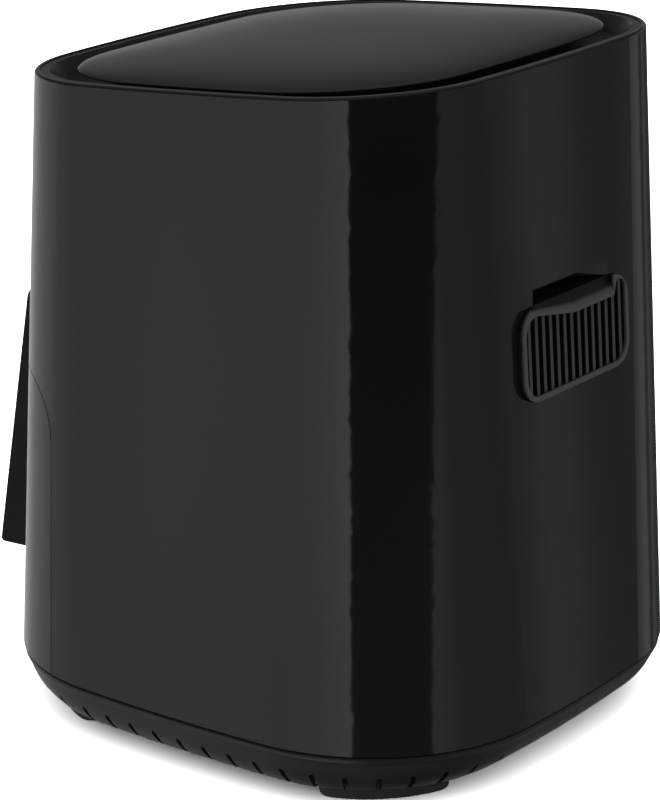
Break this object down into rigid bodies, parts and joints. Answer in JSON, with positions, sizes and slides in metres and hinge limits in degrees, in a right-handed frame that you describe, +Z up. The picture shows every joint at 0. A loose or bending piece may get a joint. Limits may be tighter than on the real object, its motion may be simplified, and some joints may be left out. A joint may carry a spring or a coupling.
{
  "type": "air fryer",
  "caption": "Square air fryer with tapered housing, crowned lid, pull-out front drawer with wedge handle, lift-out crisper plate, rear exhaust grille and slotted base skirt.",
  "frame": {"origin": "on the worktop plane under the middle of the housing", "axes": "+Z up, -Y to the front with the drawer and its handle, +Y to the rear with the exhaust grille, +X to the side that is on the right when looking from the front"},
  "size_m": [0.2806, 0.3616, 0.3394],
  "materials": {
    "outer_shell": "glossy black moulded plastic",
    "top_bezel": "satin-gloss black moulded plastic",
    "top_lid": "glossy black moulded plastic",
    "base_pan": "satin black moulded plastic",
    "foot_rear_right": "black rubber",
    "foot_rear_left": "black rubber",
    "foot_front_left": "black rubber",
    "foot_front_right": "black rubber",
    "vent_grille": "satin black moulded plastic",
    "control_fascia": "glossy black panel",
    "drawer_front": "glossy black moulded plastic",
    "drawer_liner": "black heat-resistant plastic",
    "handle_grip": "matte black moulded plastic",
    "handle_bracket": "zinc-plated steel",
    "handle_screws": "zinc-plated steel",
    "drawer_magnet": "nickel-plated magnet",
    "reed_switch": "white plastic",
    "cooking_chamber": "aluminised steel sheet",
    "chamber_front_frame": "aluminised steel sheet",
    "drawer_rail_left": "steel",
    "drawer_rail_right": "steel",
    "basket": "dark non-stick coating",
    "basket_bracket": "steel",
    "crisper_plate": "dark non-stick coating",
    "plate_feet": "black silicone",
    "heat_reflector": "bright aluminium",
    "heating_element": "oxidised steel sheath",
    "element_clamps": "steel",
    "heater_guard": "chromed wire",
    "heat_shield": "galvanised steel sheet",
    "motor_bracket": "galvanised steel",
    "fan_motor": "steel",
    "motor_shaft": "ground steel",
    "hot_air_fan": "stamped aluminium",
    "cooling_fan": "heat-resistant plastic",
    "fan_nut": "brass",
    "thermal_cutoff": "ceramic",
    "temperature_sensor": "stainless steel",
    "power_board": "green circuit board",
    "display_module": "black display housing",
    "control_board": "green circuit board",
    "exhaust_duct": "sheet aluminium",
    "cord_gland": "black rubber",
    "base_screws": "zinc-plated steel"
  },
  "bodies": {
    "housing": {"outer_shell": "outer_shell", "top_bezel": "top_bezel", "top_lid": "top_lid", "base_pan": "base_pan", "foot_rear_right": "foot_rear_right", "foot_rear_left": "foot_rear_left", "foot_front_left": "foot_front_left", "foot_front_right": "foot_front_right", "vent_grille": "vent_grille", "control_fascia": "control_fascia", "reed_switch": "reed_switch", "cooking_chamber": "cooking_chamber", "chamber_front_frame": "chamber_front_frame", "drawer_rail_left": "drawer_rail_left", "drawer_rail_right": "drawer_rail_right", "heat_reflector": "heat_reflector", "heating_element": "heating_element", "element_clamps": "element_clamps", "heater_guard": "heater_guard", "heat_shield": "heat_shield", "motor_bracket": "motor_bracket", "fan_motor": "fan_motor", "thermal_cutoff": "thermal_cutoff", "temperature_sensor": "temperature_sensor", "power_board": "power_board", "display_module": "display_module", "control_board": "control_board", "exhaust_duct": "exhaust_duct", "cord_gland": "cord_gland", "base_screws": "base_screws"},
    "drawer": {"drawer_front": "drawer_front", "drawer_liner": "drawer_liner", "handle_grip": "handle_grip", "handle_bracket": "handle_bracket", "handle_screws": "handle_screws", "drawer_magnet": "drawer_magnet", "basket": "basket", "basket_bracket": "basket_bracket"},
    "crisper": {"crisper_plate": "crisper_plate", "plate_feet": "plate_feet"},
    "fan": {"motor_shaft": "motor_shaft", "hot_air_fan": "hot_air_fan", "cooling_fan": "cooling_fan", "fan_nut": "fan_nut"}
  },
  "joints": [
    {"name": "drawer_slide", "type": "slide", "parent": "housing", "child": "drawer", "axis": [0, -1, 0], "range_m": [0, 0.22]},
    {"name": "plate_lift", "type": "slide", "parent": "drawer", "child": "crisper", "axis": [0, 0, 1], "range_m": [0, 0.1]},
    {"name": "fan_spin", "type": "hinge", "parent": "housing", "child": "fan", "pos_m": [0, 0.01, 0.25], "axis": [0, 0, 1], "continuous": true}
  ]
}
